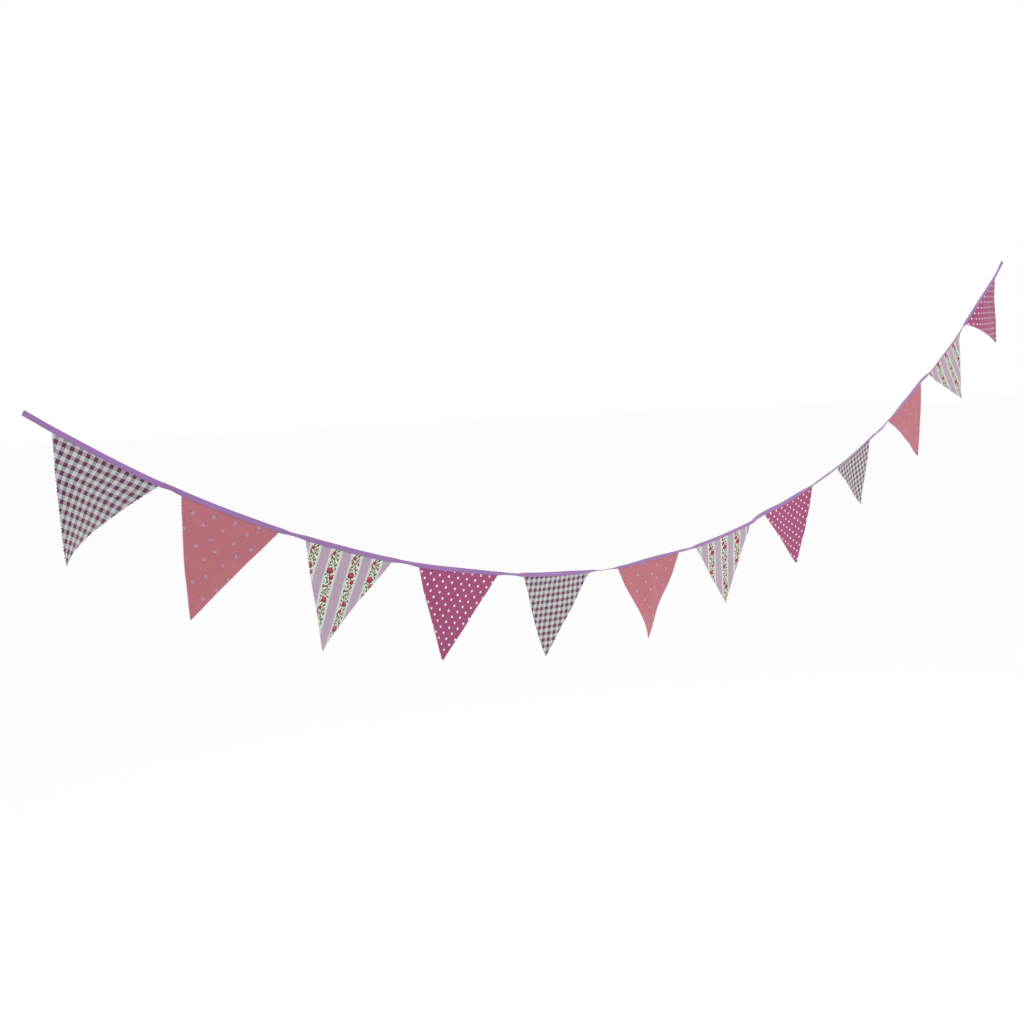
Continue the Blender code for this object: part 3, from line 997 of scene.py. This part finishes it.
print("relief of the first, 40 mm down, in mm:", round(soft_relief(1, 0, 0.04, 0.25, 0) / MM, 2))

# %% [markdown]
# A point of a pennant is found in four moves. It starts on the top line, follows the bend
# down the cloth in short steps, moves aside with the pennant's skew, and last goes forward
# by the bow of the edges and the relief. A turned point also winds about the middle line.

# %% Where a point of a pennant hangs
def bow_shape(t, peak):
    """0 at both ends of a pennant's drop and 1 at the peak, for any peak between."""
    t = min(max(t, 0.0), 1.0)
    return (t / peak) ** (2 * peak) * ((1 - t) / (1 - peak)) ** (2 - 2 * peak)


def half_width(t):
    """Half a pennant's width at t of its drop. Where t is below 0 it is inside the tape."""
    return PENNANT_WIDTH / 2 * (1 - t) + POINT_WIDTH / 2 * max(t, 0)


def pennant_point(number, p, corners, u, t):
    """Middle of the cloth, u aside of the pennant's middle line and at t of its drop."""
    drop, middle = p.drop * MM, sum(corners) / 2
    turn = math.radians(p.point_turn) * ease((t - TURN_FROM) / (TURN_TO - TURN_FROM))
    s = middle + u * math.cos(turn)
    if t <= 0:
        return leaf_point(s, TAPE_WIDTH + t * drop, 0)
    point = top_line(s)
    along, down, front = directions(s)
    sewn, hang, step = between(LEAN, s), math.radians(p.hang), t * drop / BEND_STEPS
    for i in range(BEND_STEPS):
        lean = hang + (sewn - hang) * math.exp(-(i + 0.5) * step / BEND_LENGTH)
        point += (down * math.cos(lean) + front * math.sin(lean)) * step
    across = u / half_width(t)
    bow = p.bow_left * ((1 - across) / 2) ** 2 + p.bow_right * ((1 + across) / 2) ** 2
    forward = bow * MM * bow_shape(t, p.bow_peak) - u * math.sin(turn)
    forward += soft_relief(number, u, t * drop, t, across)
    return point + along * p.skew * MM * t + front * forward


tip = pennant_point(1, PENNANTS[0], CORNERS[0], 0.0, 1.0)
print("the first pennant's point, in m:", [round(c, 3) for c in tip])

# %% [markdown]
# Now each pennant is cut as a grid that narrows to its point, and hung with the function
# above. Its map is turned and shifted the way it was laid on the cloth for cutting.

# %% Cut and hang the twelve pennants
def cut_pennant(number, p, cut, corners):
    drop = p.drop * MM
    teeth = round(math.hypot(PENNANT_WIDTH / 2, drop) / TOOTH)
    rows = 2 * teeth
    c, k = math.cos(math.radians(cut.turn)), math.sin(math.radians(cut.turn))

    def lay(column, row):
        t = 1 - row / rows if row <= rows else -(row - rows) / TOP_ROWS * HIDDEN_TOP / drop
        half = half_width(t)
        tooth = TOOTH_DEPTH / 2 * min(half / TOOTH, 1) * (-1 if row % 2 else 1)
        share = 2 * column / COLUMNS - 1
        u = share * (half + tooth * (row < rows))
        v = t * drop
        place = pennant_point(number, p, corners, u, t)
        # None at the left edge, and all of it from the middle to the right.
        drifting = 1 - share * share / 2 + share / 2
        flat = u + cut.drift * MM * ease(v / DRIFT_DROP) * drifting
        on_cloth = (flat * c - v * k + cut.along * MM, flat * k + v * c + cut.down * MM)
        return place, on_cloth, (1 - abs(share)) * half

    name = f"pennant_{number:02d}_{p.cloth}"
    piece = lay_cloth(name, COLUMNS, rows + TOP_ROWS, lay, PENNANT_CLOTH, FINISHES[p.cloth])
    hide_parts(f"pennant_{number:02d}")
    return piece


for number, (p, cut, corners) in enumerate(zip(PENNANTS, CUTS, CORNERS), start=1):
    piece = cut_pennant(number, p, cut, corners)
    print(piece.name, "faces:", len(piece.data.polygons))

# %% [markdown]
# ## Floor and light
#
# Thin pale cloth shows its colours best in a bright, even room: a near white world, and
# one large soft lamp from the right and front, so that the near end is a little duller than
# the rest. The floor is a wide plain disc well below the lowest point.

# %% Studio
FLOOR_MIDDLE, FLOOR_DROP, FLOOR_RADIUS = 1.4, 1.3, 40
FLOOR_WHITE = (0.97, 0.97, 0.97, 1)
WORLD_WHITE, WORLD_STRENGTH = (1.0, 1.0, 1.0, 1), 1.0
LAMP_AT, LAMP_AIM = Vector((1.7, -1.5, 0.8)), Vector((1.6, 0, -0.2))
LAMP_SIZE, LAMP_WATTS = 1.4, 15

bm = bmesh.new()
place = Matrix.Translation((FLOOR_MIDDLE, 0, -FLOOR_DROP))
bmesh.ops.create_circle(bm, cap_ends=True, segments=96, radius=FLOOR_RADIUS, matrix=place)
floor_paint, _, _ = new_finish("floor_paint", {"Base Color": FLOOR_WHITE, "Roughness": 0.9})
floor = new_object("floor", finished_mesh("floor", bm, [floor_paint]))

world = bpy.data.worlds.new("studio")
world.use_nodes = True
background = world.node_tree.nodes["Background"].inputs
background["Color"].default_value = WORLD_WHITE
background["Strength"].default_value = WORLD_STRENGTH
bpy.context.scene.world = world

lamp = bpy.data.lights.new("soft_lamp", "AREA")
lamp.shape, lamp.size, lamp.energy = "DISK", LAMP_SIZE, LAMP_WATTS
soft_lamp = new_object("soft_lamp", lamp)
facing = (LAMP_AIM - LAMP_AT).to_track_quat("-Z", "Y").to_matrix().to_4x4()
soft_lamp.matrix_world = Matrix.Translation(LAMP_AT) @ facing
soft_lamp.visible_camera = False
bpy.context.scene.view_settings.view_transform = "Standard"
print("floor at z =", -FLOOR_DROP, "lamp watts:", lamp.energy)
